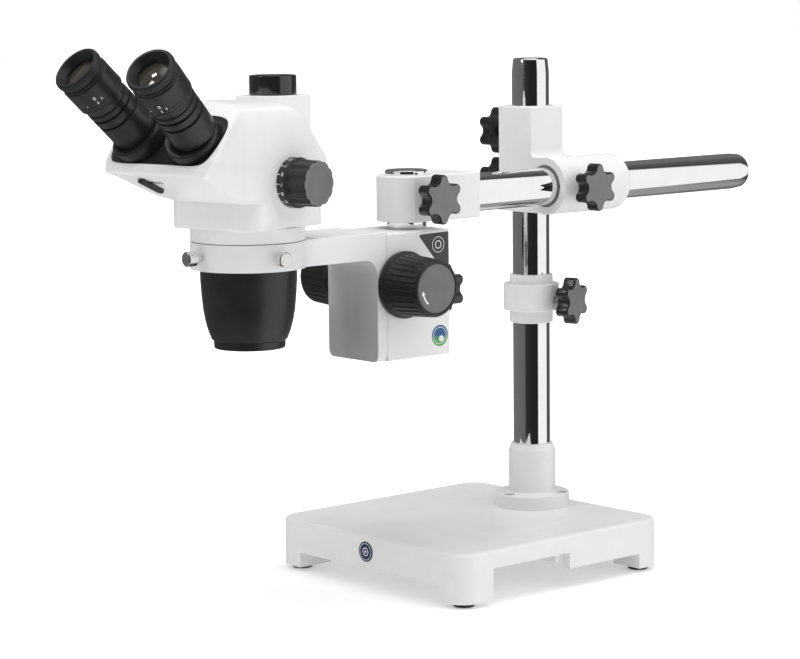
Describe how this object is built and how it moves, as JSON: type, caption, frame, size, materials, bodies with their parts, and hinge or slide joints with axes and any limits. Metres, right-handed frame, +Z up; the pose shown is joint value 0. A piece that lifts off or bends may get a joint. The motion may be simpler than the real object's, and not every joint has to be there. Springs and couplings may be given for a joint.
{
  "type": "stereo microscope",
  "caption": "Stereo zoom microscope head with inclined eyepieces and a photo port, carried by a rack focusing block on a single-arm boom stand.",
  "frame": {"origin": "middle of the overall footprint, in the bench plane at the underside of the rubber feet", "axes": "+Z up the column, -Y towards the user along the boom, +X to the user's right"},
  "size_m": [0.2366, 0.7262, 0.4543],
  "materials": {
    "white_base": "satin white powder coat over an iron casting",
    "white_alloy": "satin white paint over die-cast alloy",
    "white_shell": "satin white moulded shell",
    "black_rubber": "matt black rubber",
    "steel": "machined steel",
    "silver": "bright nickel plate",
    "chrome_bar": "polished hard chrome",
    "grey_nylon": "moulded nylon",
    "brass": "machined brass",
    "black_alloy": "black anodised or satin black paint",
    "black_plastic": "satin black moulded plastic",
    "grey_plastic": "dark grey satin plastic",
    "black_knob": "black phenolic moulding on a steel stud",
    "glass": "coated optical glass"
  },
  "bodies": {
    "stand": {"base_casting": "white_base", "rubber_feet": "black_rubber", "foot_screws": "steel", "column_socket": "white_alloy", "socket_screws": "steel", "column_tube": "chrome_bar", "column_bolt": "steel"},
    "collar": {"collar_ring": "white_alloy"},
    "collar_clamp": {"collar_knob": "black_knob"},
    "clamp_slide": {"column_bush": "grey_nylon"},
    "cross_head": {"cross_clamp": "white_alloy"},
    "column_clamp_upper": {"column_knob_upper": "black_knob"},
    "column_clamp_lower": {"column_knob_lower": "black_knob"},
    "arm_clamp": {"arm_knob": "black_knob"},
    "arm_sleeve": {"arm_bush": "grey_nylon"},
    "boom": {"boom_arm": "chrome_bar", "arm_end_clamp": "white_alloy"},
    "post_clamp": {"post_knob": "black_knob"},
    "focus_mount": {"swivel_post": "chrome_bar", "focus_block": "white_alloy", "shaft_bushes": "brass", "slide_gibs": "brass"},
    "block_clamp": {"block_knob": "black_knob"},
    "carrier": {"head_carrier": "white_alloy", "slide_rail": "steel", "focus_rack": "brass"},
    "focus_drive": {"focus_shaft": "steel", "focus_pinion": "brass", "focus_knob_right": "black_plastic", "focus_knob_left": "black_plastic", "focus_knob_caps": "grey_plastic"},
    "ring_clamp_front": {"ring_screw_front": "silver"},
    "ring_clamp_side": {"ring_screw_side": "silver"},
    "head": {"head_casing_left": "white_shell", "head_casing_right": "white_shell", "eyetube_mask": "black_plastic", "mounting_spigot": "black_alloy", "objective_housing": "black_alloy", "objective_lenses": "glass", "optical_frame": "black_alloy", "guide_rods": "steel", "photo_port": "black_alloy", "erecting_prisms": "glass", "beam_splitter": "glass"},
    "zoom_upper": {"zoom_carrier_upper": "black_alloy", "zoom_lenses_upper": "glass"},
    "zoom_lower": {"zoom_carrier_lower": "black_alloy", "zoom_lenses_lower": "glass"},
    "zoom_drive": {"zoom_pinion_shafts": "steel", "zoom_knob_right": "black_plastic", "zoom_knob_left": "black_plastic"},
    "path_lever": {"light_path_lever": "black_plastic"},
    "left_tube": {"eyetube_left": "black_alloy"},
    "right_tube": {"eyetube_right": "black_alloy"},
    "left_eyepiece": {"eyepiece_left": "black_alloy", "eye_lens_left": "glass", "eyecup_left": "black_rubber"},
    "right_eyepiece": {"eyepiece_right": "black_alloy", "eye_lens_right": "glass", "eyecup_right": "black_rubber"}
  },
  "joints": [
    {"name": "collar_height", "type": "slide", "parent": "stand", "child": "collar", "axis": [0, 0, 1], "range_m": [-0.104, 0.05]},
    {"name": "collar_clamp_turn", "type": "hinge", "parent": "collar", "child": "collar_clamp", "pos_m": [-0.00026, 0.13913, 0.227], "axis": [0.9613, 0.2756, 0], "range_deg": [0, 270]},
    {"name": "boom_height", "type": "slide", "parent": "stand", "child": "clamp_slide", "axis": [0, 0, 1], "range_m": [-0.054, 0.036]},
    {"name": "boom_swing", "type": "hinge", "parent": "clamp_slide", "child": "cross_head", "pos_m": [-0.00026, 0.13913, 0.35], "axis": [0, 0, 1], "continuous": true},
    {"name": "column_clamp_upper_turn", "type": "hinge", "parent": "cross_head", "child": "column_clamp_upper", "pos_m": [-0.00026, 0.13913, 0.3715], "axis": [-1, 0, 0], "range_deg": [0, 270]},
    {"name": "column_clamp_lower_turn", "type": "hinge", "parent": "cross_head", "child": "column_clamp_lower", "pos_m": [-0.00026, 0.13913, 0.328], "axis": [-1, 0, 0], "range_deg": [0, 270]},
    {"name": "arm_clamp_turn", "type": "hinge", "parent": "cross_head", "child": "arm_clamp", "pos_m": [0.03774, 0.13913, 0.3276], "axis": [1, 0, 0], "range_deg": [0, 270]},
    {"name": "arm_roll", "type": "hinge", "parent": "cross_head", "child": "arm_sleeve", "pos_m": [0.03774, 0.13913, 0.3276], "axis": [0, 1, 0], "range_deg": [-45, 45]},
    {"name": "arm_extend", "type": "slide", "parent": "arm_sleeve", "child": "boom", "axis": [0, -1, 0], "range_m": [-0.045, 0.15]},
    {"name": "post_clamp_turn", "type": "hinge", "parent": "boom", "child": "post_clamp", "pos_m": [0.03774, -0.03787, 0.3282], "axis": [1, 0, 0], "range_deg": [0, 270]},
    {"name": "head_swivel", "type": "hinge", "parent": "boom", "child": "focus_mount", "pos_m": [0.03774, -0.03787, 0.33], "axis": [0, 0, 1], "range_deg": [-100, 100]},
    {"name": "block_clamp_turn", "type": "hinge", "parent": "focus_mount", "child": "block_clamp", "pos_m": [0.03774, -0.03787, 0.2506], "axis": [0, 1, 0], "range_deg": [0, 270]},
    {"name": "focus_travel", "type": "slide", "parent": "focus_mount", "child": "carrier", "axis": [0, 0, -1], "range_m": [-0.025, 0.025]},
    {"name": "focus_knob_turn", "type": "hinge", "parent": "focus_mount", "child": "focus_drive", "pos_m": [0.03774, -0.07017, 0.2617], "axis": [1, 0, 0], "range_deg": [-256, 256]},
    {"name": "ring_screw_front_turn", "type": "hinge", "parent": "carrier", "child": "ring_clamp_front", "pos_m": [0.03774, -0.20177, 0.2942], "axis": [-0.0175, -0.9998, 0], "range_deg": [0, 270]},
    {"name": "ring_screw_side_turn", "type": "hinge", "parent": "carrier", "child": "ring_clamp_side", "pos_m": [0.03774, -0.20177, 0.2942], "axis": [0.9877, -0.1564, 0], "range_deg": [0, 270]},
    {"name": "head_rotation", "type": "hinge", "parent": "carrier", "child": "head", "pos_m": [0.03774, -0.20177, 0.3], "axis": [0, 0, 1], "continuous": true},
    {"name": "zoom_travel", "type": "slide", "parent": "head", "child": "zoom_upper", "axis": [0, 0, 1], "range_m": [-0.0132, 0.0132]},
    {"name": "zoom_lower_travel", "type": "slide", "parent": "head", "child": "zoom_lower", "axis": [0, 0, 1], "range_m": [-0.01325, 0.01325]},
    {"name": "zoom_knob_turn", "type": "hinge", "parent": "head", "child": "zoom_drive", "pos_m": [0.03774, -0.20177, 0.3512], "axis": [0.9823, 0.1874, 0], "range_deg": [-136, 136]},
    {"name": "light_path_slide", "type": "slide", "parent": "head", "child": "path_lever", "axis": [0.9823, 0.1874, 0], "range_m": [0, 0.01]},
    {"name": "right_tube_turn", "type": "hinge", "parent": "head", "child": "right_tube", "pos_m": [0.08082, -0.28388, 0.3866], "axis": [0.2361, -0.7078, 0.6658], "range_deg": [-50, 110]},
    {"name": "left_tube_turn", "type": "hinge", "parent": "head", "child": "left_tube", "pos_m": [0.02791, -0.29398, 0.3866], "axis": [0.041, -0.745, 0.6658], "range_deg": [-110, 50]},
    {"name": "right_dioptre_turn", "type": "hinge", "parent": "right_tube", "child": "right_eyepiece", "pos_m": [0.09879, -0.33123, 0.43504], "axis": [0.2361, -0.7078, 0.6658], "range_deg": [-90, 90]},
    {"name": "left_dioptre_turn", "type": "hinge", "parent": "left_tube", "child": "left_eyepiece", "pos_m": [0.02864, -0.34461, 0.43504], "axis": [0.041, -0.745, 0.6658], "range_deg": [-90, 90]}
  ],
  "couplings": [
    {"joint": "focus_knob_turn", "follows": "focus_travel", "rad_per_m": 178.57},
    {"joint": "zoom_lower_travel", "follows": "zoom_travel", "ratio": -1},
    {"joint": "zoom_knob_turn", "follows": "zoom_travel", "rad_per_m": -178.57},
    {"joint": "left_tube_turn", "follows": "right_tube_turn", "ratio": -1}
  ]
}
